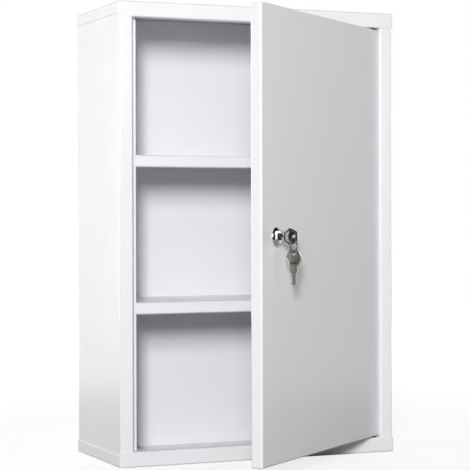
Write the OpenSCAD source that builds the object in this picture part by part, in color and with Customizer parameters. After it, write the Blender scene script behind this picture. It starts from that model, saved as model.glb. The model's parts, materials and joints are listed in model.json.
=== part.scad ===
// Lockable wall cabinet for medicines, folded from sheet steel, in millimetres.
// X points right, Y points from the room to the wall, and Z points up.
// The origin is the centre of the four wall holes, on the rear face of the body shell.
// The door stands open on its pivot pins, and a key with a ring and a spare key sits in the cam lock.

/* [Cabinet body] */
// Outside width over the end caps
cab_w = 304; // [260:1:400]
// Outside height
cab_h = 460; // [430:1:600]
// Outside depth, from the wall to the front of the rails
cab_d = 137; // [110:1:200]
// Thickness of the sheet steel
sheet_t = 1; // [0.8:0.1:1.2]
// Inside radius of every fold
bend_r = 0.8; // [0.6:0.1:1]
// Height of the cap flanges that lap over the body shell
cap_lap = 12; // [8:0.5:14]

/* [Front frame] */
// Face width of each side stile
stile_w = 15; // [12:0.5:25]
// Face height of the top and bottom rails
rail_h = 15.5; // [15:0.5:25]
// How far the door stop reaches past the left stile
stop_w = 7; // [4:0.5:12]
// Play between the closed door and its stop
door_seat = 0.5; // [0.3:0.1:1]

/* [Shelves] */
// Height of the upper shelf's top face above the cabinet's underside
upper_shelf_h = 309; // [280:1:380]
// Height of the lower shelf's top face above the cabinet's underside
lower_shelf_h = 162; // [100:1:185]
// Height of the flanges round each shelf
shelf_lip = 12; // [8:0.5:20]
// Depth of the return fold along the shelf's front edge
shelf_hem = 8; // [5:0.5:15]
// Space between the door stop and the shelf's front edge
shelf_gap = 1; // [0.6:0.1:5]

/* [Wall holes] */
// Diameter of each wall screw hole
wall_hole_d = 7; // [4:0.5:10]
// Distance between the wall holes across
wall_hole_span_x = 210; // [120:1:220]
// Distance between the wall holes up the back
wall_hole_span_z = 340; // [320:1:390]

/* [Door] */
// Thickness of the door pan
door_t = 11.5; // [10:0.5:16]
// Gap between the door and the frame all round
door_gap = 1.5; // [1.4:0.1:2.5]
// Width of the lips folded in along the door's rear edges
door_lip = 9; // [5:0.5:14]
// Opening angle at which the door stands
door_open = 39.3; // [0:0.1:110]
// Width of the stiffener's raised web
stiffener_w = 40; // [24:1:80]
// Depth of the stiffener behind the door's face sheet
stiffener_depth = 8; // [5:0.5:8]
// Width of each welding foot of the stiffener
stiffener_foot = 12; // [8:1:20]

/* [Door hinges] */
// Distance from the door's hinge edge to the pivot
hinge_inset = 6; // [6:0.1:8]
// Distance from the door's face to the pivot
hinge_setback = 5; // [4.8:0.1:5]
// Diameter of the pivot pins
pin_d = 3.5; // [3:0.1:3.6]
// Diameter of each pin's riveted head
pin_head_d = 7; // [6:0.5:9]
// Thickness of each pin's riveted head
pin_head_h = 1.2; // [1:0.1:2]
// Outside diameter of the pivot bush's sleeve
bush_d = 5; // [4.9:0.1:5]
// Diameter of the bush's collar between door and rail
bush_collar_d = 8; // [7:0.1:9]
// Thickness of the brackets that stiffen the door's corners
bracket_t = 1.5; // [1:0.1:2]
// Length of each leg of the corner brackets
bracket_l = 24; // [18:1:40]

/* [Cam lock] */
// Distance from the door's free edge to the lock's axis
lock_inset = 29; // [26:0.5:45]
// Height of the lock's axis above the cabinet's underside
lock_h = 228.5; // [215:0.5:245]
// Diameter of the lock's domed flange
lock_flange_d = 18.5; // [18:0.5:22]
// Height of the domed flange in front of the door
lock_flange_h = 4.4; // [4:0.1:6]
// Height of the flange's straight outer edge
lock_edge_h = 0.9; // [0.6:0.1:1.5]
// Diameter of the lock's barrel
barrel_d = 15.5; // [15.4:0.1:16]
// Distance between the barrel's two flats
barrel_flats = 13; // [12.8:0.1:13.6]
// Diameter of the turning plug
plug_d = 10.6; // [10.2:0.1:10.8]
// Diameter of the plug's front collar
plug_collar_d = 11.8; // [11.4:0.1:12]
// Width across the flats of the nut
nut_flats = 19; // [18:0.5:22]
// Thickness of the nut
nut_h = 4; // [3:0.5:6]
// Width of the cam's arm
cam_w = 12; // [10:0.5:14]
// Thickness of the cam
cam_t = 1.8; // [1.5:0.1:2.5]
// Overlap of the locked cam behind the door stop
cam_bite = 5; // [3:0.5:6]
// Side of the square that carries the cam
cam_square = 6; // [5:0.1:6.5]
// Turn of the plug from open to locked, in degrees
lock_turn = 90; // [80:1:100]
// Thickness of each wafer in the plug
wafer_t = 0.8; // [0.6:0.1:1]
// Distance from one wafer to the next
wafer_pitch = 2; // [1.8:0.1:2.1]

/* [Keys and ring] */
// Thickness of the key blank
key_t = 1.8; // [1.5:0.1:2]
// Height of the key's blade
blade_h = 4.6; // [4:0.1:5]
// Length of the key's blade
blade_l = 11.5; // [11.5:0.1:12]
// Height of the key's shoulder
shoulder_h = 7; // [6:0.1:7.4]
// Length of the key's shoulder
shoulder_l = 6.5; // [5:0.1:8]
// Depth to which the shoulder sits in the plug
key_seat = 3.4; // [3.2:0.1:3.8]
// Height of the key's bow across its widest corners
bow_h = 17; // [14:0.5:20]
// Length of the key's bow
bow_l = 15; // [14:0.5:18]
// Width of the raised rim round the bow
bow_rim = 1.6; // [1.2:0.1:2]
// Diameter of the hole in the bow
bow_hole_d = 3.6; // [3.2:0.1:3.8]
// Distance from the bow's end to its hole
bow_hole_inset = 4; // [3.8:0.1:4.5]
// Mean diameter of the key ring
ring_d = 13.6; // [13:0.1:18]
// Diameter of the ring's wire
ring_wire_d = 1.2; // [1:0.1:1.4]

/* [Hidden] */
$fn = 48;

// Clearances
run_gap = 0.05;   // radial play of a turning fit
fixed_gap = 0.02; // radial play of a pressed or screwed joint
part_gap = 0.3;   // space between pieces that pass each other
key_gap = 0.2;    // space round the key, and between the ring and the holes it hangs in
cut = 1;          // how far a cutting solid runs past the face it cuts

// Colours
paint = [0.93, 0.93, 0.94];
chrome = [0.75, 0.76, 0.78];
nickel = [0.62, 0.61, 0.56];
zinc = [0.68, 0.70, 0.72];
brass = [0.80, 0.66, 0.36];
nylon = [0.16, 0.16, 0.17];

// Planes of the cabinet
half_t = sheet_t / 2;
fold_r = sheet_t + bend_r;
x_left = -cab_w / 2;
x_right = cab_w / 2;
z_base = -cab_h / 2;
y_wall = sheet_t;
y_front = y_wall - cab_d;
y_stile = y_front + sheet_t;
y_stop = y_stile + door_t + door_seat;
y_return = y_stop - part_gap;
open_left = x_left + stile_w;
open_right = x_right - stile_w;
panel_h = cab_h - 2 * fold_r;

// Shelves fit inside the body shell, behind the door stop
shelf_w = cab_w - 4 * sheet_t;
shelf_front = y_stop + sheet_t + shelf_gap;
shelf_d = -sheet_t - part_gap - shelf_front;

// Door and its pivot, as closed
door_w = open_right - open_left - 2 * door_gap;
door_h = cab_h - 2 * rail_h - 2 * door_gap;
door_left = open_left + door_gap;
door_right = open_right - door_gap;
door_base = z_base + rail_h + door_gap;
pivot = [door_right - hinge_inset, y_stile + hinge_setback];

// Lock, measured along its axis from the door's face, outwards positive
plug_face = lock_flange_h - part_gap;
plug_collar_h = 1.2;
cam_front = -(door_t + door_seat + sheet_t + door_seat);
barrel_end = cam_front + part_gap;
dome_face_r = plug_collar_d / 2 + 0.5;
lock_washer_t = 0.8;
cam_washer_t = 0.8;
cam_washer_d = 10;
cam_head_d = 16;
cam_reach = lock_inset + door_gap - stop_w + cam_bite;
screw_d = 4;
screw_head_d = 7.4;
screw_head_h = 2.4;
tab_w = 2.4;
tab_inner_r = plug_d / 2 + part_gap;
tab_outer_r = barrel_d / 2 - part_gap;
tab_half_angle = asin(tab_w / 2 / tab_inner_r);
notch_depth = 2;
wafer_w = 6.4;
wafer_count = 5;
wafer_cuts = [0.5, 1.1, 0.7, 1.3, 0.4];

// Keys and ring
blade_start = plug_face - key_seat;
blade_tip = blade_start - blade_l;
keyway_end = blade_tip - part_gap;
screw_tip = keyway_end - part_gap;
first_wafer = blade_start - wafer_pitch;
hole_x = shoulder_l + bow_l - bow_hole_inset;
hole_n = blade_start + hole_x;
hang = bow_hole_d / 2 - ring_wire_d / 2 - key_gap;
ring_top = -hang;
ring_bottom = ring_top - ring_d;
spare_hole = ring_bottom - hang;
ring_split = 4;

// Direction of one leg of a folded path
function heading(path, i) = (path[i + 1] - path[i]) / norm(path[i + 1] - path[i]);

// Points on an arc round a corner, from the incoming edge to the outgoing edge
function corner_arc(before, corner, after, r, steps = 4) =
  let (
    a = (before - corner) / norm(before - corner),
    b = (after - corner) / norm(after - corner),
    half = acos(a * b) / 2,
    centre = corner + (a + b) / norm(a + b) * r / sin(half),
    from = corner + a * r / tan(half) - centre,
    turn = sign(cross(a, b)) * (2 * half - 180)
  )
  [for (k = [0:steps]) centre + [
    from[0] * cos(turn * k / steps) - from[1] * sin(turn * k / steps),
    from[0] * sin(turn * k / steps) + from[1] * cos(turn * k / steps)
  ]];

// Outline through the corners, each rounded with its own radius
function rounded_outline(corners, radii) =
  let (n = len(corners))
  [for (i = [0:n - 1])
    each corner_arc(corners[(i + n - 1) % n], corners[i], corners[(i + 1) % n], radii[i])];

// Profile of a strip of sheet that is folded square at each inner point of its centre line
module folded_sheet(path, t = sheet_t) {
  mid_r = bend_r + t / 2;
  last = len(path) - 1;
  for (i = [0:last - 1]) {
    dir = heading(path, i);
    start = path[i] + (i > 0 ? mid_r : 0) * dir;
    end = path[i + 1] - (i < last - 1 ? mid_r : 0) * dir;
    translate(start)
      rotate(atan2(dir[1], dir[0]))
        translate([0, -t / 2])
          square([norm(end - start), t]);
  }
  for (i = [1:last - 1]) {
    into = heading(path, i - 1);
    out = heading(path, i);
    translate(path[i] + mid_r * (out - into))
      intersection() {
        difference() {
          circle(r = bend_r + t);
          circle(r = bend_r);
        }
        polygon((bend_r + 2 * t) * [[0, 0], into, into - out, -out]);
      }
  }
}

// Extrudes a profile drawn in Y and Z along X
module along_x(length) {
  rotate([90, 0, 90])
    linear_extrude(length)
      children();
}

module rounded_rect(size, r) {
  translate([r, 0]) square([size[0] - 2 * r, size[1]]);
  translate([0, r]) square([size[0], size[1] - 2 * r]);
  for (x = [r, size[0] - r], y = [r, size[1] - r])
    translate([x, y]) circle(r = r);
}

// Box whose twelve edges all have the radius of a fold
module folded_box(size, r) {
  intersection() {
    linear_extrude(size[2])
      rounded_rect([size[0], size[1]], r);
    translate([0, size[1], 0])
      rotate([90, 0, 0])
        linear_extrude(size[1])
          rounded_rect([size[0], size[2]], r);
    along_x(size[0])
      rounded_rect([size[1], size[2]], r);
  }
}

// Tray folded up from one sheet. The front flange is size[2] high and folds back as a return.
module tray(size, side_h, return_depth, return_inset) {
  blank = [size[0], size[1], 2 * size[2]];
  inner = blank - 2 * [sheet_t, sheet_t, sheet_t];
  fold_start = size[2] - 2 * fold_r;
  return_w = size[0] - 2 * return_inset;
  difference() {
    folded_box(blank, fold_r);
    translate([sheet_t, sheet_t, sheet_t])
      folded_box(inner, bend_r);
    translate([-cut, -cut, size[2]])
      cube(blank + [2 * cut, 2 * cut, cut]);
    translate([-cut, fold_r, side_h])
      cube(blank + [2 * cut, cut, cut]);
    translate([return_inset, -cut, fold_start])
      cube([return_w, fold_r + cut, blank[2]]);
  }
  translate([return_inset, 0, 0])
    along_x(return_w)
      folded_sheet([
        [half_t, fold_start],
        [half_t, size[2] - half_t],
        [return_depth, size[2] - half_t]
      ]);
}

// Moves a piece drawn in the closed door to where the open door holds it
module on_door() {
  translate(pivot)
    rotate(door_open)
      translate(-pivot)
        children();
}

// Moves a piece drawn round the lock's axis into the door, with local Z outwards and local Y up
module on_lock() {
  on_door()
    translate([door_left + lock_inset, y_stile, z_base + lock_h])
      rotate([90, 0, 0])
        children();
}

// Cabinet body

// One sheet wraps round both sides and the back, and folds in at the front to form the stiles
module body_shell() {
  side = x_left + sheet_t + half_t;
  front = y_stile + half_t;
  stile = open_left - half_t;
  color(paint)
    difference() {
      translate([0, 0, z_base + fold_r])
        linear_extrude(panel_h)
          folded_sheet([
            [open_left + stop_w, y_stop + half_t], [stile, y_stop + half_t],
            [stile, front], [side, front], [side, -half_t],
            [-side, -half_t], [-side, front], [-stile, front],
            [-stile, y_return]
          ]);
      for (x = [-1, 1] * wall_hole_span_x / 2, z = [-1, 1] * wall_hole_span_z / 2)
        translate([x, cut, z])
          rotate([90, 0, 0])
            cylinder(d = wall_hole_d, h = sheet_t + 2 * cut);
    }
}

module bottom_cap() {
  difference() {
    translate([x_left, y_front, z_base])
      tray([cab_w, cab_d, rail_h], cap_lap, y_return - y_front, stile_w + part_gap);
    translate([pivot[0], pivot[1], z_base + rail_h - sheet_t - cut])
      cylinder(d = pin_d + 2 * fixed_gap, h = sheet_t + 2 * cut);
  }
}

module bottom_panel() {
  color(paint) bottom_cap();
}

module top_panel() {
  color(paint) mirror([0, 0, 1]) bottom_cap();
}

module shelf(height) {
  color(paint)
    translate([-shelf_w / 2, shelf_front, z_base + height])
      mirror([0, 0, 1])
        tray([shelf_w, shelf_d, shelf_lip], shelf_lip, shelf_hem, fold_r + part_gap);
}

module upper_shelf() {
  shelf(upper_shelf_h);
}

module lower_shelf() {
  shelf(lower_shelf_h);
}

// Hinges, drawn at the bottom and mirrored to the top

module hinge_pin() {
  rail_under = z_base + rail_h - sheet_t;
  pin_end = door_base + sheet_t + bracket_t + pin_d / 2;
  color(zinc)
    translate([pivot[0], pivot[1], rail_under]) {
      translate([0, 0, -pin_head_h])
        cylinder(d = pin_head_d, h = pin_head_h);
      cylinder(d = pin_d, h = pin_end - rail_under - pin_d / 4);
      translate([0, 0, pin_end - rail_under - pin_d / 4])
        cylinder(d1 = pin_d, d2 = pin_d / 2, h = pin_d / 4);
    }
}

module hinge_bush() {
  collar_h = door_gap - part_gap;
  sleeve_h = sheet_t + bracket_t + part_gap;
  color(nylon)
    on_door()
      translate([pivot[0], pivot[1], door_base])
        difference() {
          union() {
            translate([0, 0, -collar_h]) cylinder(d = bush_collar_d, h = collar_h);
            cylinder(d = bush_d, h = sleeve_h);
          }
          translate([0, 0, -collar_h - cut])
            cylinder(d = pin_d + 2 * run_gap, h = collar_h + sleeve_h + 2 * cut);
        }
}

module hinge_bracket() {
  inner_edge = door_right - sheet_t;
  foot = door_base + sheet_t + bracket_t / 2;
  color(zinc)
    on_door()
      difference() {
        translate([0, y_stile + door_t - fold_r, 0])
          rotate([90, 0, 0])
            linear_extrude(door_t - 2 * fold_r)
              folded_sheet([
                [inner_edge - bracket_l, foot],
                [inner_edge - bracket_t / 2, foot],
                [inner_edge - bracket_t / 2, door_base + sheet_t + bracket_l]
              ], bracket_t);
        translate([pivot[0], pivot[1], door_base])
          cylinder(d = bush_d + 2 * fixed_gap, h = bracket_l / 2);
      }
}

module hinge_pin_bottom() {
  hinge_pin();
}

module hinge_pin_top() {
  mirror([0, 0, 1]) hinge_pin();
}

module hinge_bush_bottom() {
  hinge_bush();
}

module hinge_bush_top() {
  mirror([0, 0, 1]) hinge_bush();
}

module hinge_bracket_bottom() {
  hinge_bracket();
}

module hinge_bracket_top() {
  mirror([0, 0, 1]) hinge_bracket();
}

// Door

module barrel_section(gap) {
  intersection() {
    circle(d = barrel_d + 2 * gap);
    square([barrel_flats + 2 * gap, barrel_d + 2 * cut], center = true);
  }
}

module door_panel() {
  color(paint)
    on_door()
      difference() {
        translate([door_left, y_stile, door_base])
          folded_box([door_w, door_t, door_h], fold_r);
        translate([door_left + sheet_t, y_stile + sheet_t, door_base + sheet_t])
          folded_box([door_w - 2 * sheet_t, door_t - 2 * sheet_t, door_h - 2 * sheet_t], bend_r);
        translate([door_left + door_lip, y_stile + door_t / 2, door_base + door_lip])
          cube([door_w - 2 * door_lip, door_t, door_h - 2 * door_lip]);
        translate([door_left + lock_inset, y_stile + sheet_t + cut, z_base + lock_h])
          rotate([90, 0, 0])
            linear_extrude(sheet_t + 2 * cut)
              barrel_section(fixed_gap);
        for (end = [0, 1])
          mirror([0, 0, end])
            translate([pivot[0], pivot[1], door_base - cut])
              cylinder(d = bush_d + 2 * fixed_gap, h = sheet_t + 2 * cut);
      }
}

module door_stiffener() {
  centre = (door_left + door_right) / 2;
  foot = y_stile + sheet_t + half_t;
  web = y_stile + sheet_t + stiffener_depth - half_t;
  half_w = stiffener_w / 2;
  tip = half_w + stiffener_foot;
  length = door_h - 2 * door_lip;
  color(paint)
    on_door()
      translate([centre, 0, -length / 2])
        linear_extrude(length)
          folded_sheet([
            [-tip, foot], [-half_w, foot], [-half_w, web], [half_w, web], [half_w, foot], [tip, foot]
          ]);
}

// Cam lock

// Sector between two angles that covers the barrel's wall
module sector(from, to) {
  reach = barrel_d;
  polygon(concat([[0, 0]], [for (k = [0:6])
    let (a = from + (to - from) * k / 6)
    reach * [cos(a), sin(a)]]));
}

module lock_body() {
  edge_r = lock_flange_d / 2;
  dome_centre = (pow(dome_face_r, 2) + pow(lock_flange_h, 2) - pow(edge_r, 2) - pow(lock_edge_h, 2))
    / (2 * (lock_flange_h - lock_edge_h));
  dome_r = norm([edge_r, lock_edge_h - dome_centre]);
  color(chrome)
    on_lock()
      difference() {
        union() {
          intersection() {
            cylinder(r = edge_r, h = lock_flange_h);
            translate([0, 0, dome_centre]) sphere(r = dome_r);
          }
          translate([0, 0, barrel_end])
            linear_extrude(-barrel_end + lock_edge_h / 2)
              barrel_section(0);
        }
        translate([0, 0, barrel_end - cut])
          cylinder(d = plug_d + 2 * run_gap, h = lock_flange_h - barrel_end + 2 * cut);
        translate([0, 0, plug_face - plug_collar_h - part_gap])
          cylinder(d = plug_collar_d + 2 * run_gap, h = lock_flange_h);
        translate([0, 0, barrel_end - cut])
          linear_extrude(notch_depth + cut)
            sector(90 - lock_turn - tab_half_angle - 2, 90 + tab_half_angle + 2);
      }
}

module lock_washer() {
  teeth = 16;
  washer_r = nut_flats / 2 + 1.5;
  tooth_depth = 1.6;
  color(zinc)
    on_lock()
      translate([0, 0, -sheet_t - lock_washer_t])
        difference() {
          cylinder(r = washer_r, h = lock_washer_t);
          translate([0, 0, -cut])
            cylinder(d = barrel_d + 2 * key_gap, h = lock_washer_t + 2 * cut);
          for (k = [0:teeth - 1])
            rotate(k * 360 / teeth)
              translate([washer_r - tooth_depth, -tooth_depth / 2, -cut])
                cube([2 * tooth_depth, tooth_depth, lock_washer_t + 2 * cut]);
        }
}

module lock_nut() {
  corner_r = nut_flats / sqrt(3);
  chamfer = corner_r - nut_flats / 2;
  color(zinc)
    on_lock()
      translate([0, 0, -sheet_t - lock_washer_t - nut_h])
        difference() {
          intersection() {
            cylinder(r = corner_r, h = nut_h, $fn = 6);
            cylinder(r1 = nut_flats / 2, r2 = nut_flats / 2 + 2 * nut_h * chamfer, h = nut_h);
          }
          translate([0, 0, -cut])
            cylinder(d = barrel_d + 2 * fixed_gap, h = nut_h + 2 * cut);
        }
}

module lock_plug() {
  keyway_w = key_t + 2 * key_gap;
  blade_slot = blade_h + 2 * key_gap;
  shoulder_slot = shoulder_h + 2 * key_gap;
  color(chrome)
    on_lock()
      difference() {
        union() {
          translate([0, 0, cam_front])
            cylinder(d = plug_d, h = plug_face - cam_front);
          translate([0, 0, plug_face - plug_collar_h])
            cylinder(d = plug_collar_d, h = plug_collar_h);
          translate([-cam_square / 2, -cam_square / 2, cam_front - cam_t])
            cube([cam_square, cam_square, cam_t + cut]);
        }
        translate([-keyway_w / 2, -blade_slot / 2, keyway_end])
          cube([keyway_w, blade_slot, plug_face - keyway_end + cut]);
        translate([-keyway_w / 2, -shoulder_slot / 2, blade_start])
          cube([keyway_w, shoulder_slot, key_seat + cut]);
        for (k = [0:wafer_count - 1])
          translate([0, 0, first_wafer - k * wafer_pitch])
            cube([wafer_w + key_gap, plug_d + cut, wafer_t + key_gap], center = true);
        translate([0, 0, cam_front - cam_t - cut])
          cylinder(d = screw_d, h = screw_tip - cam_front + cam_t + cut);
      }
}

module lock_wafers() {
  color(brass)
    on_lock()
      for (k = [0:wafer_count - 1])
        translate([0, 0, first_wafer - k * wafer_pitch - wafer_t / 2])
          linear_extrude(wafer_t)
            difference() {
              intersection() {
                circle(d = plug_d - 2 * run_gap);
                square([wafer_w, plug_d], center = true);
              }
              square([key_t + 3 * key_gap, blade_h + 3 * key_gap], center = true);
            }
}

module lock_cam() {
  tip_r = 3;
  hole = cam_square + 2 * fixed_gap;
  color(zinc)
    on_lock() {
      translate([0, 0, cam_front - cam_t])
        linear_extrude(cam_t)
          difference() {
            union() {
              circle(d = cam_head_d);
              translate([-cam_w / 2, -cam_reach])
                rounded_rect([cam_w, cam_reach], tip_r);
            }
            square([hole, hole], center = true);
          }
      translate([-tab_w / 2, tab_inner_r, cam_front - cam_t / 2])
        cube([tab_w, tab_outer_r - tab_inner_r, cam_t / 2 + notch_depth]);
    }
}

module cam_washer() {
  color(zinc)
    on_lock()
      translate([0, 0, cam_front - cam_t - cam_washer_t])
        difference() {
          cylinder(d = cam_washer_d, h = cam_washer_t);
          translate([0, 0, -cut])
            cylinder(d = screw_d + key_gap, h = cam_washer_t + 2 * cut);
        }
}

module cam_screw() {
  seat = cam_front - cam_t - cam_washer_t;
  slot_w = 1;
  color(zinc)
    on_lock() {
      translate([0, 0, seat - screw_head_h])
        difference() {
          union() {
            translate([0, 0, screw_head_h / 2])
              cylinder(d = screw_head_d, h = screw_head_h / 2);
            cylinder(d1 = screw_head_d - screw_head_h, d2 = screw_head_d, h = screw_head_h / 2);
          }
          translate([-screw_head_d / 2, -slot_w / 2, -cut])
            cube([screw_head_d, slot_w, slot_w + cut]);
        }
      translate([0, 0, seat])
        cylinder(d = screw_d - 2 * fixed_gap, h = screw_tip - seat - part_gap);
    }
}

// Keys and ring

function bow_outline(inset) =
  let (
    end_h = 0.26 * bow_h - 0.6 * inset,
    wide_h = bow_h / 2 - 1.15 * inset,
    start_h = 0.28 * bow_h - 0.5 * inset,
    wide_x = bow_l / 2
  )
  rounded_outline(
    [
      [inset, -start_h], [wide_x, -wide_h], [bow_l - inset, -end_h],
      [bow_l - inset, end_h], [wide_x, wide_h], [inset, start_h]
    ],
    [1, 5, 3, 3, 5, 1]
  );

// Cut in the blade's lower edge where a wafer rests
module bitting(depth) {
  flat = 0.35;
  flare = 0.55;
  low = -blade_h / 2;
  polygon([
    [-flat - flare * (depth + cut), low - cut],
    [flat + flare * (depth + cut), low - cut],
    [flat, low + depth],
    [-flat, low + depth]
  ]);
}

// Flat key along X, with its bow at the far end. Its shoulder starts at the origin.
module key() {
  recess = key_t / 6;
  groove = key_t / 5;
  groove_w = blade_h / 6;
  tip = blade_h / 3;
  difference() {
    translate([0, 0, -key_t / 2])
      linear_extrude(key_t)
        difference() {
          union() {
            polygon([
              [-blade_l, -blade_h / 2 + tip], [-blade_l + tip, -blade_h / 2], [cut, -blade_h / 2],
              [cut, blade_h / 2], [-blade_l + tip / 2, blade_h / 2], [-blade_l, blade_h / 2 - tip]
            ]);
            translate([0, -shoulder_h / 2])
              square([shoulder_l + bow_rim, shoulder_h]);
            translate([shoulder_l, 0])
              polygon(bow_outline(0));
          }
          for (k = [0:wafer_count - 1])
            translate([first_wafer - blade_start - k * wafer_pitch, 0])
              bitting(wafer_cuts[k]);
        }
    for (side = [0, 1])
      mirror([0, 0, side])
        translate([shoulder_l, 0, key_t / 2 - recess])
          linear_extrude(recess + cut)
            polygon(bow_outline(bow_rim));
    for (side = [0, 1], y = [-blade_h / 16, blade_h / 4])
      mirror([0, 0, side])
        translate([-blade_l - cut, y - groove_w / 2, key_t / 2 - groove])
          cube([blade_l + shoulder_l + cut, groove_w, groove + cut]);
    translate([hole_x, 0, -key_t])
      cylinder(d = bow_hole_d, h = 2 * key_t);
  }
}

module key_in_lock() {
  color(nickel)
    on_lock()
      translate([0, 0, blade_start])
        rotate([0, -90, 0])
          key();
}

module key_ring() {
  color(zinc)
    on_lock()
      translate([0, ring_top - ring_d / 2, hole_n])
        rotate(ring_split / 2)
          rotate_extrude(angle = 360 - ring_split)
            translate([ring_d / 2, 0])
              circle(d = ring_wire_d);
}

module spare_key() {
  color(nickel)
    on_lock()
      translate([0, spare_hole - hole_x, hole_n])
        rotate([90, 0, 90])
          key();
}

body_shell();
top_panel();
bottom_panel();
upper_shelf();
lower_shelf();
hinge_pin_top();
hinge_pin_bottom();
door_panel();
door_stiffener();
hinge_bracket_top();
hinge_bracket_bottom();
hinge_bush_top();
hinge_bush_bottom();
lock_body();
lock_washer();
lock_nut();
lock_plug();
lock_wafers();
lock_cam();
cam_washer();
cam_screw();
key_in_lock();
key_ring();
spare_key();
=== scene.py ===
"""Dresses the lockable medicine cabinet: powder coat, metals, detailed keys and lock, studio and camera."""
import json
import math

import bmesh
import bpy
from mathutils import Matrix, Vector


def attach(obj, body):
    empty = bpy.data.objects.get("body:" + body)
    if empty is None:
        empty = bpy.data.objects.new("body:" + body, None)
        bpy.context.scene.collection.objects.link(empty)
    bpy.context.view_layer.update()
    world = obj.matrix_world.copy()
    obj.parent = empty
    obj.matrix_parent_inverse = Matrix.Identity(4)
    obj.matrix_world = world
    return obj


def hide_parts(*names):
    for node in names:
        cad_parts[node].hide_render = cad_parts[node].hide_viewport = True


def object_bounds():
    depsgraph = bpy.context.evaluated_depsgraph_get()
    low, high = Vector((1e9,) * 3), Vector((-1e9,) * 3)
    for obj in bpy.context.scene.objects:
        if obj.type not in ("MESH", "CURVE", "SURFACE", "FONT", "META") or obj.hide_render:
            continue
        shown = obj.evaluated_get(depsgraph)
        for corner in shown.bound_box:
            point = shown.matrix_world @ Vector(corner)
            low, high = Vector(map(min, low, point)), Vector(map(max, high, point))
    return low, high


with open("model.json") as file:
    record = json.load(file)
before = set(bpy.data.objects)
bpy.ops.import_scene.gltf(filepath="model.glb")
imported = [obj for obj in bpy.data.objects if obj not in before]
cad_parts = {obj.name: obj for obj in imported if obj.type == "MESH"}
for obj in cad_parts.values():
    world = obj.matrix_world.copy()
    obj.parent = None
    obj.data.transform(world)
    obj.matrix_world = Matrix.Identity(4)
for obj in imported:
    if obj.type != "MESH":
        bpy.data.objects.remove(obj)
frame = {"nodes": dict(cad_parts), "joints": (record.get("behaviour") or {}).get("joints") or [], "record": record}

MM = 0.001
cad_low, cad_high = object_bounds()
nodes = frame["nodes"]
joints = {joint["name"]: joint for joint in frame["joints"]}

# Camera, fitted to the photograph's outline, in millimetres, degrees and pixels

CAMERA_AT = (-690.55, -1698.27, 14.83)
CAMERA_YAW = 22.96
CAMERA_PITCH = -0.54
CAMERA_ROLL = -0.14
FOCAL_PIXELS = 1680.68
FRAME_PIXELS = 470
SENSOR_MM = 36


def add_camera():
    """Camera that yaws to the right, pitches up and rolls anticlockwise from a level view to the wall."""
    yaw, pitch, roll = (math.radians(angle) for angle in (CAMERA_YAW, CAMERA_PITCH, CAMERA_ROLL))
    ahead = Vector((math.sin(yaw) * math.cos(pitch), math.cos(yaw) * math.cos(pitch), math.sin(pitch)))
    level = Vector((math.cos(yaw), -math.sin(yaw), 0))
    upright = level.cross(ahead)
    right = level * math.cos(roll) + upright * math.sin(roll)
    up = upright * math.cos(roll) - level * math.sin(roll)
    turn = Matrix((right, up, -ahead)).transposed().to_4x4()
    camera = bpy.data.objects.new("camera", bpy.data.cameras.new("camera"))
    bpy.context.scene.collection.objects.link(camera)
    camera.data.sensor_width = SENSOR_MM
    camera.data.lens = FOCAL_PIXELS / FRAME_PIXELS * SENSOR_MM
    camera.matrix_world = Matrix.Translation(Vector(CAMERA_AT) * MM) @ turn
    bpy.context.scene.camera = camera


# Materials

# Dark dirt colour, which also paints shade into the keys' recesses, hole and grooves
DIRT_AND_SHADE_COLOUR = (0.06, 0.06, 0.052, 1)
# Shares of a noise's scale along X, Y and Z, which draw its marks out along Z
ROLLED = (1, 1, 0.1)
BRUSHED = (1, 1, 0.15)


class Tree:
    """A node tree, with short calls that add nodes and link them."""

    def __init__(self, tree):
        self.tree = tree

    def add(self, kind, inputs=(), **fields):
        """Adds a node. Inputs are (socket, value) pairs, where a value may be another node's output."""
        node = self.tree.nodes.new("ShaderNode" + kind)
        for name, value in fields.items():
            setattr(node, name, value)
        for socket, value in inputs:
            if isinstance(value, bpy.types.NodeSocket):
                self.tree.links.new(value, node.inputs[socket])
            else:
                node.inputs[socket].default_value = value
        return node

    def compute(self, operation, *values):
        """Output of a Math node, whose values are numbers or other nodes' outputs."""
        return self.add("Math", enumerate(values), operation=operation).outputs[0]

    def remap(self, source, low, high, from_low=0.3, from_high=0.7):
        """Maps a value to a range. A noise runs from about 0.3 to 0.7."""
        node = self.add("MapRange", [
            ("Value", source), ("From Min", from_low), ("From Max", from_high),
            ("To Min", low), ("To Max", high)])
        return node.outputs["Result"]


class Shader(Tree):
    """A material with a Principled shader, given its constant values by the names of their sockets."""

    def __init__(self, name, constants):
        self.material = bpy.data.materials.new(name)
        self.material.use_nodes = True
        super().__init__(self.material.node_tree)
        self.principled = self.tree.nodes["Principled BSDF"]
        for socket, value in constants.items():
            self.principled.inputs[socket].default_value = value

    def link(self, socket, source):
        """Links an output to one of the Principled shader's inputs."""
        self.tree.links.new(source, self.principled.inputs[socket])

    def noise(self, scale, detail, roughness=0.5, stretch=(1, 1, 1)):
        """Noise in the object's own coordinates, with its scale in features per metre."""
        place = self.add("TexCoord").outputs["Object"]
        mapping = self.add("Mapping", [("Vector", place), ("Scale", stretch)])
        noise = self.add("TexNoise", [
            ("Vector", mapping.outputs["Vector"]), ("Scale", scale),
            ("Detail", detail), ("Roughness", roughness)])
        return noise.outputs["Fac"]

    def colour(self, first, second, scale, detail):
        """Colour that wanders between two values with a noise."""
        ramp = self.add("ValToRGB", [("Fac", self.remap(self.noise(scale, detail), 0, 1))])
        for element, value in zip(ramp.color_ramp.elements, (first, second)):
            element.color = (*value, 1)
        return ramp.outputs["Color"]

    def bump(self, height, depth, under=None):
        """Normal of bumps with a depth in metres, on top of another normal where one is given."""
        inputs = [("Height", height), ("Strength", 1.0), ("Distance", depth)]
        if under:
            inputs.append(("Normal", under))
        return self.add("Bump", inputs).outputs["Normal"]


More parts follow.
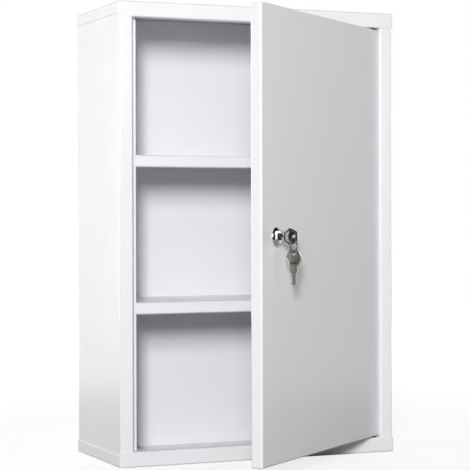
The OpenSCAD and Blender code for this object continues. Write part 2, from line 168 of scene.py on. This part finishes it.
def powder_coat():
    """White satin powder coat: fine orange peel, and a colour and gloss that vary very little."""
    shader = Shader("powder_coat", {"Metallic": 0.0, "Specular IOR Level": 0.5})
    white = shader.colour((0.885, 0.881, 0.907), (0.900, 0.896, 0.921), scale=9, detail=3)
    shader.link("Base Color", white)
    shader.link("Roughness", shader.remap(shader.noise(scale=40, detail=3), 0.21, 0.26))
    ripple = shader.bump(shader.noise(scale=120, detail=1, roughness=0.4), depth=0.03 * MM)
    peel = shader.noise(scale=700, detail=2, roughness=0.45)
    shader.link("Normal", shader.bump(peel, depth=0.012 * MM, under=ripple))
    return shader.material


def zinc_plate():
    """Bright zinc plating with a faint bloom and fine rolling marks."""
    shader = Shader("zinc_plate", {"Metallic": 1.0})
    shader.link("Base Color", shader.colour((0.60, 0.61, 0.62), (0.76, 0.77, 0.79), scale=160, detail=4))
    shader.link("Roughness", shader.remap(shader.noise(scale=500, detail=4), 0.26, 0.42))
    marks = shader.noise(scale=3000, detail=2, stretch=ROLLED)
    shader.link("Normal", shader.bump(marks, depth=0.006 * MM))
    return shader.material


def chrome_plate():
    """Polished chrome with faint handling smears."""
    shader = Shader("chrome_plate", {"Metallic": 1.0})
    shader.link("Base Color", shader.colour((0.74, 0.75, 0.76), (0.80, 0.81, 0.82), scale=250, detail=3))
    smears = shader.noise(scale=600, detail=4, roughness=0.6)
    shader.link("Roughness", shader.remap(smears, 0.05, 0.13, from_low=0.4, from_high=0.8))
    shader.link("Normal", shader.bump(shader.noise(scale=900, detail=2), depth=0.004 * MM))
    return shader.material


def nickel_plate(name, first, second, gloss, dull):
    """Tumbled nickel plate with small dents and fine scratches, darkened by dirt and painted shade in its hollows.
    """
    shader = Shader(name, {"Metallic": 1.0})
    plate = shader.colour(first, second, scale=220, detail=3)
    # Dirt with painted shade, from a vertex attribute that is darkest in the recess corners, the hole and the
    # grooves
    dirt_and_shade = shader.add("Attribute", attribute_name="dirt_and_shade").outputs["Fac"]
    patches = shader.remap(shader.noise(scale=900, detail=3, roughness=0.6), 0.7, 1.0)
    amount = shader.compute("MULTIPLY", dirt_and_shade, patches)
    dirty_and_shaded = shader.add("MixRGB", [("Fac", amount), ("Color1", plate), ("Color2", DIRT_AND_SHADE_COLOUR)])
    shader.link("Base Color", dirty_and_shaded.outputs[0])
    shader.link("Roughness", shader.remap(shader.noise(scale=700, detail=3, roughness=0.6), gloss, dull))
    dents = shader.bump(shader.noise(scale=700, detail=2), depth=0.012 * MM)
    scratches = shader.noise(scale=2600, detail=2, stretch=BRUSHED)
    shader.link("Normal", shader.bump(scratches, depth=0.005 * MM, under=dents))
    return shader.material


def ring_wire():
    """Drawn spring wire, darker than the keys."""
    shader = Shader("ring_wire", {"Metallic": 1.0})
    shader.link("Base Color", shader.colour((0.13, 0.128, 0.12), (0.21, 0.207, 0.197), scale=700, detail=3))
    shader.link("Roughness", shader.remap(shader.noise(scale=1500, detail=3), 0.22, 0.34))
    shader.link("Normal", shader.bump(shader.noise(scale=4000, detail=2), depth=0.005 * MM))
    return shader.material


def wafer_brass():
    """Stamped brass, a little tarnished."""
    shader = Shader("wafer_brass", {"Metallic": 1.0})
    shader.link("Base Color", shader.colour((0.66, 0.47, 0.20), (0.80, 0.62, 0.31), scale=500, detail=3))
    shader.link("Roughness", shader.remap(shader.noise(scale=900, detail=3), 0.28, 0.42))
    return shader.material


def black_nylon():
    """Moulded nylon with a fine matt grain."""
    shader = Shader("black_nylon", {"Metallic": 0.0, "IOR": 1.53})
    black = shader.colour((0.018, 0.018, 0.020), (0.030, 0.030, 0.033), scale=200, detail=3)
    shader.link("Base Color", black)
    shader.link("Roughness", shader.remap(shader.noise(scale=600, detail=3), 0.42, 0.55))
    shader.link("Normal", shader.bump(shader.noise(scale=1500, detail=2), depth=0.01 * MM))
    return shader.material


MATERIALS = {
    "white_paint": powder_coat(),
    "zinc_steel": zinc_plate(),
    "lock_chrome": chrome_plate(),
    "wafer_brass": wafer_brass(),
    # The spare key's copy of the nickel, rougher and more olive so that it renders lighter: a lit copy of one
    # material
    "key_nickel": nickel_plate(
        "nickel_lit_copy", (0.68, 0.67, 0.61), (0.77, 0.76, 0.70), gloss=0.26, dull=0.36),
    "ring_wire": ring_wire(),
    "nylon": black_nylon(),
}
# The in-lock key's copy of the same nickel, glossier and paler so that it mirrors the dark room and renders
# darker: a shaded copy
NICKEL_SHADED_COPY = nickel_plate(
    "nickel_shaded_copy", (0.70, 0.675, 0.645), (0.80, 0.775, 0.745), gloss=0.06, dull=0.13)


def dress(item, slot):
    """Gives an object the material of one of the record's slots."""
    item.data.materials.clear()
    item.data.materials.append(MATERIALS[slot])


def dress_cad_nodes():
    """Gives every CAD node the material of its slot in the record."""
    for part in frame["record"]["subparts"]:
        dress(nodes[part["node"]], part["material_slot"])


# Mesh building, in millimetres of a local frame

ARC_STEPS = 6
LATHE_STEPS = 96
# Cosine of the sharpest turn at which an inset corner keeps its full distance
SHARPEST_TURN = -0.5
# Softening welds near points, dissolves edges under the flat angle and rounds those over the soft angle
WELD_DISTANCE = 0.001
FLAT_ANGLE = 1
SOFT_ANGLE = 25
SOFT_WIDTH = 0.12
SOFT_SEGMENTS = 2


def local_frame(at, across, up, out):
    """Matrix from millimetres of a frame, with its X, Y and Z directions, to metres of the part."""
    turn = Matrix((across, up, out)).transposed().to_4x4()
    return Matrix.Translation(at) @ turn @ Matrix.Scale(MM, 4)


def add_piece(name, shape, place, body, slot, node, sharp=30):
    """Turns a mesh into a piece that rides on a body and stands for a CAD node. Sharp is in degrees."""
    shape.transform(place)
    bmesh.ops.recalc_face_normals(shape, faces=shape.faces)
    mesh = bpy.data.meshes.new(name)
    shape.to_mesh(mesh)
    shape.free()
    mesh.shade_smooth()
    mesh.set_sharp_from_angle(angle=math.radians(sharp))
    piece = bpy.data.objects.new(name, mesh)
    bpy.context.scene.collection.objects.link(piece)
    dress(piece, slot)
    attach(piece, body)
    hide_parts(node)
    return piece


def scratch_object(name, shape):
    """Object for a mesh that is only needed while it is cut."""
    mesh = bpy.data.meshes.new(name)
    shape.to_mesh(mesh)
    shape.free()
    item = bpy.data.objects.new(name, mesh)
    bpy.context.scene.collection.objects.link(item)
    return item


def carve(shape, cutters):
    """Cuts closed meshes out of a closed mesh."""
    solid = scratch_object("solid", shape)
    tools = [scratch_object("tool", cutter) for cutter in cutters]
    for tool in tools:
        cut = solid.modifiers.new("cut", "BOOLEAN")
        cut.operation = "DIFFERENCE"
        cut.solver = "EXACT"
        cut.object = tool
    evaluated = solid.evaluated_get(bpy.context.evaluated_depsgraph_get())
    result = bmesh.new()
    result.from_mesh(evaluated.to_mesh())
    evaluated.to_mesh_clear()
    for item in [solid, *tools]:
        mesh = item.data
        bpy.data.objects.remove(item)
        bpy.data.meshes.remove(mesh)
    return result


def rounded(corners, splits=None):
    """Outline through (x, y, radius) corners. The side after each corner is split into equal parts."""
    arcs = []
    for i, (x, y, radius) in enumerate(corners):
        corner = Vector((x, y))
        if not radius:
            arcs.append([corner])
            continue
        before = (Vector(corners[i - 1][:2]) - corner).normalized()
        after = (Vector(corners[(i + 1) % len(corners)][:2]) - corner).normalized()
        half = before.angle(after) / 2
        centre = corner + (before + after).normalized() * radius / math.sin(half)
        start = corner + before * radius / math.tan(half) - centre
        end = corner + after * radius / math.tan(half) - centre
        turn = math.atan2(start.cross(end), start.dot(end))
        arcs.append([centre + Matrix.Rotation(turn * k / ARC_STEPS, 2) @ start
                     for k in range(ARC_STEPS + 1)])
    points = []
    for i, arc in enumerate(arcs):
        ahead = arcs[(i + 1) % len(arcs)][0]
        parts = splits[i] if splits else 1
        points += arc + [arc[-1].lerp(ahead, k / parts) for k in range(1, parts)]
    return points


def inset(loop, distance):
    """Anticlockwise loop moved inwards, with its sharpest corners held back."""
    moved = []
    for i, point in enumerate(loop):
        into = (point - loop[i - 1]).normalized()
        out = (loop[(i + 1) % len(loop)] - point).normalized()
        inward = Vector((-into.y - out.y, into.x + out.x))
        moved.append(point + inward * distance / (1 + max(into.dot(out), SHARPEST_TURN)))
    return moved


def add_loop(shape, loop, height, dirt_and_shade=0.0):
    """Adds a loop of vertices at a height, each with its share of dirt and painted shade."""
    layer = shape.verts.layers.float.get("dirt_and_shade") or shape.verts.layers.float.new("dirt_and_shade")
    made = [shape.verts.new((point.x, point.y, height)) for point in loop]
    for vertex in made:
        vertex[layer] = dirt_and_shade
    return made


def skin(shape, loops, closed=False):
    """Joins each loop of vertices to the next with quads, and the last to the first where closed."""
    pairs = zip(loops, loops[1:] + loops[:1]) if closed else zip(loops, loops[1:])
    for first, second in pairs:
        for i in range(len(first)):
            shape.faces.new((first[i - 1], first[i], second[i], second[i - 1]))


def fill_between(shape, *loops):
    """Fills the flat region between an outer loop of vertices and the loops inside it."""
    edges = [shape.edges.get((loop[i - 1], loop[i])) or shape.edges.new((loop[i - 1], loop[i]))
             for loop in loops for i in range(len(loop))]
    bmesh.ops.triangle_fill(shape, use_beauty=True, edges=edges, normal=(0, 0, 1))


def prism(outline, low, high):
    """Closed solid of an outline between two heights."""
    shape = bmesh.new()
    loops = [add_loop(shape, outline, low), add_loop(shape, outline, high)]
    skin(shape, loops)
    for loop in loops:
        fill_between(shape, loop)
    bmesh.ops.recalc_face_normals(shape, faces=shape.faces)
    return shape


def lathe(profile):
    """Closed solid from a function of the angle that gives the closed profile's (radius, height) points."""
    shape = bmesh.new()
    loops = []
    for k in range(LATHE_STEPS):
        angle = 2 * math.pi * k / LATHE_STEPS
        across, up = math.cos(angle), math.sin(angle)
        loops.append([shape.verts.new((radius * across, radius * up, z)) for radius, z in profile(angle)])
    skin(shape, loops, closed=True)
    return shape


def softened(node):
    """Copy of a CAD node's mesh, in metres, with its sharp edges rounded."""
    shape = bmesh.new()
    shape.from_mesh(nodes[node].data)
    bmesh.ops.remove_doubles(shape, verts=shape.verts, dist=WELD_DISTANCE * MM)
    flat = math.radians(FLAT_ANGLE)
    bmesh.ops.dissolve_limit(shape, angle_limit=flat, verts=shape.verts, edges=shape.edges)
    sharp = [edge for edge in shape.edges
             if edge.is_manifold and edge.calc_face_angle() > math.radians(SOFT_ANGLE)]
    bmesh.ops.bevel(shape, geom=sharp, offset=SOFT_WIDTH * MM, offset_type="OFFSET", segments=SOFT_SEGMENTS,
                    profile=0.5, affect="EDGES", clamp_overlap=True)
    return shape


# Cam lock, in millimetres of a frame at the door's face whose Z runs out along the plug's axis

LOCK_AXIS = -Vector(joints["lock_turn"]["axis"])
LOCK_ACROSS = -Vector(joints["ring_swing"]["axis"])
LOCK = local_frame(Vector(joints["lock_turn"]["pos_m"]), LOCK_ACROSS, Vector((0, 0, 1)), LOCK_AXIS)

FLANGE_R = 9.25
FLANGE_H = 4.4
FLANGE_EDGE_H = 0.9
FACE_R = 6.4
DOME_STEPS = 16
BORE_R = 5.35
BORE_CHAMFER = 0.25
COUNTERBORE_R = 6
COUNTERBORE_FLOOR = 2.6
BARREL_R = 7.75
BARREL_FLAT = 6.5
BARREL_END = -13.2
BARREL_ROWS = 84
THREAD_PITCH = 1.25
THREAD_DEPTH = 0.4
THREAD_SLOPE = 2.2
THREAD_ROOT = 0.6
NOTCH_DEPTH = 2
NOTCH_FROM = -14.4
NOTCH_TO = 104.4
NOTCH_STEPS = 12
# Reach of a cutter past the end of what it cuts
CUT = 1

# Steps of the flange's inner lip: (out from the counterbore, below the face)
FLANGE_LIP = ((0, 0.35), (0.07, 0.16), (0.23, 0.03))
# Steps of the flange's foot: (in from its edge, height above the door)
FLANGE_FOOT = ((0, FLANGE_EDGE_H - 0.15), (0, 0.2), (0.06, 0.06), (0.2, 0))


def flange_profile():
    """Outer profile of the domed flange, from the inner lip of its face to the foot of its edge."""
    rise = FLANGE_H - FLANGE_EDGE_H
    middle = (FACE_R ** 2 + FLANGE_H ** 2 - FLANGE_R ** 2 - FLANGE_EDGE_H ** 2) / (2 * rise)
    radius = math.hypot(FLANGE_R, FLANGE_EDGE_H - middle)
    start = math.asin(FACE_R / radius)
    end = math.asin(FLANGE_R / radius)
    lip = [(COUNTERBORE_R + out, FLANGE_H - drop) for out, drop in FLANGE_LIP]
    dome = []
    for k in range(DOME_STEPS + 1):
        angle = start + (end - start) * k / DOME_STEPS
        dome.append((radius * math.sin(angle), middle + radius * math.cos(angle)))
    foot = [(FLANGE_R - into, height) for into, height in FLANGE_FOOT]
    return lip + dome + foot


def thread_radius(angle, height):
    """Radius of the barrel's thread, cut off by the crests and by the two flats."""
    turn = (height / THREAD_PITCH - angle / (2 * math.pi)) % 1
    ridge = min(1.0, max(0.0, THREAD_SLOPE * abs(2 * turn - 1) - THREAD_ROOT))
    radius = BARREL_R - THREAD_DEPTH * (1 - ridge)
    return min(radius, BARREL_FLAT / max(abs(math.cos(angle)), BARREL_FLAT / BARREL_R))


def lock_profile(angle):
    """Closed profile of the lock body at an angle: flange, threaded barrel, bore and counterbore."""
    heights = [BARREL_END * k / BARREL_ROWS for k in range(BARREL_ROWS + 1)]
    barrel = [(thread_radius(angle, height), height) for height in heights]
    bore = [(BORE_R + BORE_CHAMFER, BARREL_END), (BORE_R, BARREL_END + BORE_CHAMFER),
            (BORE_R, COUNTERBORE_FLOOR), (COUNTERBORE_R, COUNTERBORE_FLOOR)]
    return flange_profile() + barrel + bore


def add_lock_body():
    """Threaded lock body, with the notch in its end that stops the cam's tab."""
    sector = [Vector((0, 0))]
    for k in range(NOTCH_STEPS + 1):
        angle = math.radians(NOTCH_FROM + (NOTCH_TO - NOTCH_FROM) * k / NOTCH_STEPS)
        sector.append(2 * BARREL_R * Vector((math.cos(angle), math.sin(angle))))
    notch = prism(sector, BARREL_END - CUT, BARREL_END + NOTCH_DEPTH)
    shape = carve(lathe(lock_profile), [notch])
    add_piece("lock_body_chrome", shape, LOCK, "door", "lock_chrome", "lock_body")


# Keys and key ring, in millimetres. A key's frame is where its blade meets its shoulder, with X to the bow.

# Height of that place above the door when the key is in the lock
KEY_START = 0.7
KEY_T = 1.8
BLADE_L = 11.5
BLADE_H = 4.6
BLADE_TIP = BLADE_H / 3
SHOULDER_L = 6.5
SHOULDER_H = 7
WAFER_CUTS = (0.5, 1.1, 0.7, 1.3, 0.4)
WAFER_PITCH = 2
CUT_FLAT = 0.35
CUT_SLOPE = 0.55
CUT_FLOOR_R = 0.1
CUT_TOP_R = 0.08
POINT_R = 0.2
TIP_R = 0.3
HEEL_R = 0.25
SHOULDER_R = 0.5

BOW_L = 15
BOW_H = 17
BOW_END = SHOULDER_L + BOW_L
# Corners of one side of the bow, from the shoulder to its end, with the radii of its outline
BOW_CORNERS = ((SHOULDER_L, 0.28 * BOW_H), (SHOULDER_L + BOW_L / 2, BOW_H / 2), (BOW_END, 0.26 * BOW_H))
BOW_RADII = (0.6, 5, 3)
BOW_RIM = 1.6
HOLE_R = 1.8
HOLE_LIP_R = HOLE_R + 0.15
HOLE_X = BOW_END - 4

RECESS = 0.3
RECESS_RADII = (1, 5, 3)
RECESS_LEAST_R = 0.5
RECESS_SPLITS = (6, 8, 16, 8, 6, 6)
RECESS_MARGIN = BOW_RIM + 0.3
CROWN = 0.12
# Dirt and painted shade on the rim for each millimetre below the face, and in the hole
RIM_DIRT_AND_SHADE = 5
HOLE_DIRT_AND_SHADE = 0.7

GROOVE_CENTRES = (-BLADE_H / 16, BLADE_H / 4)
GROOVE_W = BLADE_H / 6
GROOVE_DEPTH = KEY_T / 5
GROOVE_LEAN = 0.06
GROOVE_STOP = SHOULDER_L - 0.5
GROOVE_RUN_OUT = SHOULDER_L + 1.6
GROOVE_OVER = 0.5

# How far the wire hangs below the middle of the key's hole, and the spare key's hole below the wire
HANG = 1.0
RING_R = 6.8
RING_WIRE_R = 0.6
RING_TOP = -HANG
SPARE_HOLE = RING_TOP - 2 * RING_R - HANG
RING_STEPS = 120
WIRE_SIDES = 16
SPLIT_ANGLE = 4
SPLIT_LEAN = 0.12
SPLIT_STEPS = 20
WIRE_END = 0.8

# Steps of the outer edge, from the flat face to the side: (in from the outline, below the face)
EDGE = 0.15
EDGE_STEPS = ((EDGE + 0.06, 0), (EDGE, 0), (0.3 * EDGE, 0.3 * EDGE), (0, EDGE))
# Steps from the rim down into the recess: (in from the bow's outline, below the face)
RIM_STEPS = (
    (BOW_RIM - 0.26, 0), (BOW_RIM - 0.2, 0), (BOW_RIM - 0.06, 0.06), (BOW_RIM, 0.2),
    (BOW_RIM + 0.1, RECESS - 0.05))
# Dirt and painted shade across the recess, darkest at its edge and by the hole: (share of the way from its edge to
# the hole, dirt and painted shade)
RECESS_DIRT_AND_SHADE = ((0, 1), (0.12, 0.6), (0.3, 0.15), (0.5, 0.05), (0.7, 0.05), (0.85, 0.15), (1, 0.5))
# Steps of the hole's edge: (radius, below the recess)
HOLE_STEPS = ((HOLE_R + 0.05, 0.04), (HOLE_R, 0.14))


def recess_loop(margin):
    """Outline through the bow's six corners, moved in by a margin."""
    corners = [Vector((x, -y)) for x, y in BOW_CORNERS] + [Vector(corner) for corner in BOW_CORNERS[::-1]]
    radii = RECESS_RADII + RECESS_RADII[::-1]
    moved = []
    for i, (corner, radius) in enumerate(zip(corners, radii)):
        before = (corners[i - 1] - corner).normalized()
        after = (corners[(i + 1) % len(corners)] - corner).normalized()
        shift = (before + after).normalized() * margin / math.sin(before.angle(after) / 2)
        moved.append((*(corner + shift), max(radius - margin, RECESS_LEAST_R)))
    return rounded(moved, RECESS_SPLITS)


def key_outline():
    """Outline of the whole key, from the tip along the cuts to the bow and back along the straight edge."""
    low, high, side = -BLADE_H / 2, BLADE_H / 2, SHOULDER_H / 2
    corners = [(-BLADE_L, low + BLADE_TIP, POINT_R)]
    for k, depth in reversed(list(enumerate(WAFER_CUTS))):
        centre = -WAFER_PITCH * (k + 1)
        foot = CUT_FLAT + CUT_SLOPE * depth
        if k == len(WAFER_CUTS) - 1:
            corners.append((-BLADE_L + BLADE_TIP - depth, low + depth, 0))
        else:
            corners += [(centre - foot, low, CUT_TOP_R), (centre - CUT_FLAT, low + depth, CUT_FLOOR_R)]
        corners += [(centre + CUT_FLAT, low + depth, CUT_FLOOR_R), (centre + foot, low, CUT_TOP_R)]
    corners += [(0, low, HEEL_R), (0, -side, SHOULDER_R), (SHOULDER_L, -side, SHOULDER_R)]
    bow = [(x, y, radius) for (x, y), radius in zip(BOW_CORNERS, BOW_RADII)]
    corners += [(x, -y, radius) for x, y, radius in bow] + bow[::-1]
    corners += [(SHOULDER_L, side, SHOULDER_R), (0, side, SHOULDER_R), (0, high, HEEL_R)]
    corners += [(-BLADE_L + BLADE_TIP / 2, high, TIP_R), (-BLADE_L, high - BLADE_TIP, TIP_R)]
    return rounded(corners)


def key_shape():
    """Key with a raised rim round both faces of its crowned bow."""
    shape = bmesh.new()
    half = KEY_T / 2
    outline = key_outline()
    sides = [add_loop(shape, inset(outline, margin), half - drop) for margin, drop in EDGE_STEPS]
    sides += [add_loop(shape, inset(outline, margin), drop - half) for margin, drop in reversed(EDGE_STEPS)]
    skin(shape, sides)

    hole = Vector((HOLE_X, 0))
    # The rim's steps, the recess and the hole carry dirt and painted shade, darkest in the recess corners and down
    # the hole
    inner = [(recess_loop(margin), half - drop, RIM_DIRT_AND_SHADE * drop) for margin, drop in RIM_STEPS]
    floor = recess_loop(RECESS_MARGIN)
    around = [(point - hole).normalized() for point in floor]
    for share, dirt_and_shade in RECESS_DIRT_AND_SHADE:
        loop = [point.lerp(hole + way * HOLE_LIP_R, share) for point, way in zip(floor, around)]
        inner.append((loop, half - RECESS + CROWN * math.sin(math.pi * share), dirt_and_shade))
    for radius, drop in HOLE_STEPS:
        inner.append(([hole + way * radius for way in around], half - RECESS - drop, HOLE_DIRT_AND_SHADE))
    faces = [add_loop(shape, loop, height, min(dirt_and_shade, 1)) for loop, height, dirt_and_shade in inner]
    faces += [add_loop(shape, loop, -height, min(dirt_and_shade, 1)) for loop, height, dirt_and_shade in reversed(inner)]
    skin(shape, faces)
    fill_between(shape, sides[0], faces[0])
    fill_between(shape, sides[-1], faces[-1])
    bmesh.ops.recalc_face_normals(shape, faces=shape.faces)
    return shape


def groove(centre, side):
    """Cutter for a groove milled along the blade and the shoulder, on the upper or lower face."""
    above, floor, half = KEY_T / 2 + GROOVE_OVER, KEY_T / 2 - GROOVE_DEPTH, GROOVE_W / 2
    slope = GROOVE_LEAN * (GROOVE_OVER + GROOVE_DEPTH) / GROOVE_DEPTH
    section = [(centre - half - slope, above), (centre - half, floor),
               (centre + half, floor), (centre + half + slope, above)]
    shape = bmesh.new()
    start = [shape.verts.new((-BLADE_L - CUT, y, z * side)) for y, z in section]
    end = [shape.verts.new((GROOVE_STOP, y, z * side)) for y, z in section]
    left = shape.verts.new((GROOVE_RUN_OUT, section[0][0], above * side))
    right = shape.verts.new((GROOVE_RUN_OUT, section[3][0], above * side))
    skin(shape, [start, end])
    for face in (start, (end[0], end[1], left), (end[1], end[2], right, left),
                 (end[2], end[3], right), (end[3], end[0], left, right)):
        shape.faces.new(face)
    bmesh.ops.recalc_face_normals(shape, faces=shape.faces)
    # The groove cutters give full dirt and painted shade to the grooves they cut
    layer = shape.verts.layers.float.new("dirt_and_shade")
    for vertex in shape.verts:
        vertex[layer] = 1.0
    return shape


def grooved_key():
    """Key with the grooves of both its faces cut in."""
    return carve(key_shape(), [groove(centre, side) for centre in GROOVE_CENTRES for side in (1, -1)])


def add_keys():
    """Key in the plug and spare key that hangs from the ring."""
    quarter = math.radians(90)
    in_lock = LOCK @ Matrix.Translation((0, 0, KEY_START)) @ Matrix.Rotation(-quarter, 4, "Y")
    key = add_piece("key_in_lock_cut", grooved_key(), in_lock, "key", "key_nickel", "key_in_lock")
    # The key in the lock takes the shaded copy of the nickel, and the spare keeps the lit copy
    key.data.materials[0] = NICKEL_SHADED_COPY
    hanging = Matrix.Rotation(quarter, 4, "Z") @ Matrix.Rotation(quarter, 4, "X")
    on_ring = LOCK @ Matrix.Translation((0, SPARE_HOLE - HOLE_X, KEY_START + HOLE_X)) @ hanging
    add_piece("spare_key_cut", grooved_key(), on_ring, "spare", "key_nickel", "spare_key")


def add_ring():
    """Wire ring with a narrow split at its side, where the two ends are thinner and lean apart."""
    shape = bmesh.new()
    split = math.radians(SPLIT_ANGLE)
    loops = []
    for k in range(RING_STEPS + 1):
        along = k / RING_STEPS
        angle = split / 2 + (2 * math.pi - split) * along
        outward = Vector((math.cos(angle), math.sin(angle), 0))
        from_end = min(k, RING_STEPS - k)
        lean = SPLIT_LEAN * (2 * along - 1) * (1 - min(1, from_end / SPLIT_STEPS)) * RING_WIRE_R
        centre = RING_R * outward + Vector((0, 0, lean))
        radius = RING_WIRE_R * (WIRE_END if from_end == 0 else 1)
        loop = []
        for j in range(WIRE_SIDES):
            turn = 2 * math.pi * j / WIRE_SIDES
            loop.append(shape.verts.new(
                centre + radius * (outward * math.cos(turn) + Vector((0, 0, 1)) * math.sin(turn))))
        loops.append(loop)
    skin(shape, loops)
    shape.faces.new(loops[0])
    shape.faces.new(loops[-1])
    place = LOCK @ Matrix.Translation((0, RING_TOP - RING_R, KEY_START + HOLE_X))
    add_piece("key_ring_wire", shape, place, "ring", "ring_wire", "key_ring", sharp=50)


# Hardware: the CAD pieces whose edges are softened, as (node, body, slot)

SOFT_PIECES = (
    ("lock_plug", "lock_rotor", "lock_chrome"), ("lock_cam", "lock_rotor", "zinc_steel"),
    ("cam_screw", "lock_rotor", "zinc_steel"), ("cam_washer", "lock_rotor", "zinc_steel"),
    ("lock_nut", "door", "zinc_steel"), ("lock_washer", "door", "zinc_steel"),
    ("hinge_bracket_top", "door", "zinc_steel"), ("hinge_bracket_bottom", "door", "zinc_steel"))


def add_hardware():
    """Zinc and chrome pieces that keep their CAD shape, with the soft edges of stamped and turned metal."""
    for node, body, slot in SOFT_PIECES:
        add_piece(node + "_soft", softened(node), Matrix(), body, slot, node)


# Studio, in metres

WHITE = (1, 1, 1, 1)
FLOOR_SIZE = 40
FLOOR_DROP = 0.0002
FLOOR_COLOUR = (0.45, 0.45, 0.45, 1)
SHADOW_COLOUR = (0.25, 0.25, 0.25, 1)
# The floor's glow for the camera, which goes from one level to the other between two distances
GLOW = (0.80, 1.0)
GLOW_REACH = (0.3, 1.6)
# How far from its middle reflections still see the floor
TABLE_EDGE = 0.65
# The room that reflections see: its dark level, where it turns white by a direction's Y, and dark by its Z
ROOM_DARK = 0.03
ROOM_FADE = (-0.1, 0.3)
CEILING_FADE = (0.45, 0.8)
# Bright upright cards that reflections see where they run nearly at right angles to this direction
CARD_SIDE = (0.951, 0.309, 0)
CARD_HALF_WIDTH = 0.2
CARD_MIDDLE = 0.12
CARD_HALF_HEIGHT = 0.55
CARD_LEVEL = 1.2

# Name, azimuth and elevation in degrees, distance, width and height in metres, and power in watts.
# Azimuth 0 stands in front of the cabinet, and positive goes to the right.
LAMPS = (
    ("key_light", -25, 13, 2.15, (0.22, 0.42), 26),
    ("fill_light", -23, 10, 2.8, (0.35, 0.35), 14),
    ("left_light", -136, 4, 1.8, (0.7, 0.8), 19.5),
    ("high_light", 30, 35, 1.5, (0.6, 0.6), 2.4),
    ("right_light", 80, 9, 2.2, (0.8, 0.8), 2),
    ("rim_light", 135, 12, 2.0, (0.8, 0.8), 8),
    ("top_light", 170, 55, 1.8, (0.8, 0.8), 9),
)


def add_floor():
    """Pale floor. The camera sees it near white with the shadow, and reflections see only its middle."""
    bpy.ops.mesh.primitive_plane_add(size=FLOOR_SIZE, location=(0, 0, cad_low.z - FLOOR_DROP))
    floor = bpy.context.object
    floor.name = "floor"
    shader = Shader("floor", {"Base Color": FLOOR_COLOUR, "Roughness": 0.9, "Specular IOR Level": 0.1})
    path = shader.add("LightPath").outputs
    place = shader.add("TexCoord").outputs["Object"]
    away = shader.add("VectorMath", [(0, place)], operation="LENGTH").outputs["Value"]
    beyond = shader.compute("GREATER_THAN", away, TABLE_EDGE)
    gone = shader.compute("MULTIPLY", beyond, path["Is Glossy Ray"])
    clear = shader.add("BsdfTransparent").outputs[0]
    table = shader.add("MixShader", [(0, gone), (1, shader.principled.outputs[0]), (2, clear)])
    glow = shader.add("Emission", [("Strength", shader.remap(away, *GLOW, *GLOW_REACH))])
    shadowed = shader.add("BsdfDiffuse", [("Color", SHADOW_COLOUR)])
    near_white = shader.add("AddShader", [(0, shadowed.outputs[0]), (1, glow.outputs[0])])
    seen = shader.add("MixShader", [
        (0, path["Is Camera Ray"]), (1, table.outputs[0]), (2, near_white.outputs[0])])
    shader.tree.links.new(seen.outputs[0], shader.tree.nodes["Material Output"].inputs["Surface"])
    floor.data.materials.append(shader.material)


def add_world():
    """White backdrop for the camera. Polished surfaces see it behind the part, and a dark room in front."""
    world = bpy.data.worlds.new("studio")
    bpy.context.scene.world = world
    world.use_nodes = True
    world.node_tree.nodes.clear()
    sky = Tree(world.node_tree)
    path = sky.add("LightPath").outputs
    view = sky.add("TexCoord").outputs["Generated"]
    split = sky.add("SeparateXYZ", [(0, view)]).outputs
    room = sky.remap(split["Y"], ROOM_DARK, 1.0, *ROOM_FADE)
    ceiling = sky.remap(split["Z"], 1.0, ROOM_DARK, *CEILING_FADE)
    across = sky.add("VectorMath", [(0, view), (1, CARD_SIDE)], operation="DOT_PRODUCT").outputs["Value"]
    card = sky.compute("MULTIPLY", sky.compute("COMPARE", across, 0.0, CARD_HALF_WIDTH),
                       sky.compute("COMPARE", split["Z"], CARD_MIDDLE, CARD_HALF_HEIGHT))
    backdrop = sky.compute("MULTIPLY", room, ceiling)
    bright = sky.compute("MAXIMUM", backdrop, sky.compute("MULTIPLY", card, CARD_LEVEL))
    level = sky.compute("MULTIPLY", bright, path["Is Glossy Ray"])
    reflected = sky.add("Background", [("Color", WHITE), ("Strength", level)])
    seen = sky.add("Background", [("Color", WHITE), ("Strength", 1.0)])
    mix = sky.add("MixShader", [
        (0, path["Is Camera Ray"]), (1, reflected.outputs[0]), (2, seen.outputs[0])])
    sky.add("OutputWorld", [("Surface", mix.outputs[0])])


def add_lamp(name, azimuth, elevation, distance, size, power):
    """Rectangular soft light that faces the middle of the cabinet's back."""
    azimuth, elevation = math.radians(azimuth), math.radians(elevation)
    level = math.cos(elevation)
    toward = Vector((math.sin(azimuth) * level, -math.cos(azimuth) * level, math.sin(elevation)))
    lamp = bpy.data.objects.new(name, bpy.data.lights.new(name, "AREA"))
    bpy.context.scene.collection.objects.link(lamp)
    lamp.data.shape = "RECTANGLE"
    lamp.data.size, lamp.data.size_y = size
    lamp.data.energy = power
    lamp.location = toward * distance
    lamp.rotation_mode = "QUATERNION"
    lamp.rotation_quaternion = toward.to_track_quat("Z", "Y")


add_camera()
dress_cad_nodes()
add_lock_body()
add_keys()
add_ring()
add_hardware()
add_floor()
add_world()
for lamp in LAMPS:
    add_lamp(*lamp)
bpy.context.scene.view_settings.view_transform = "Standard"
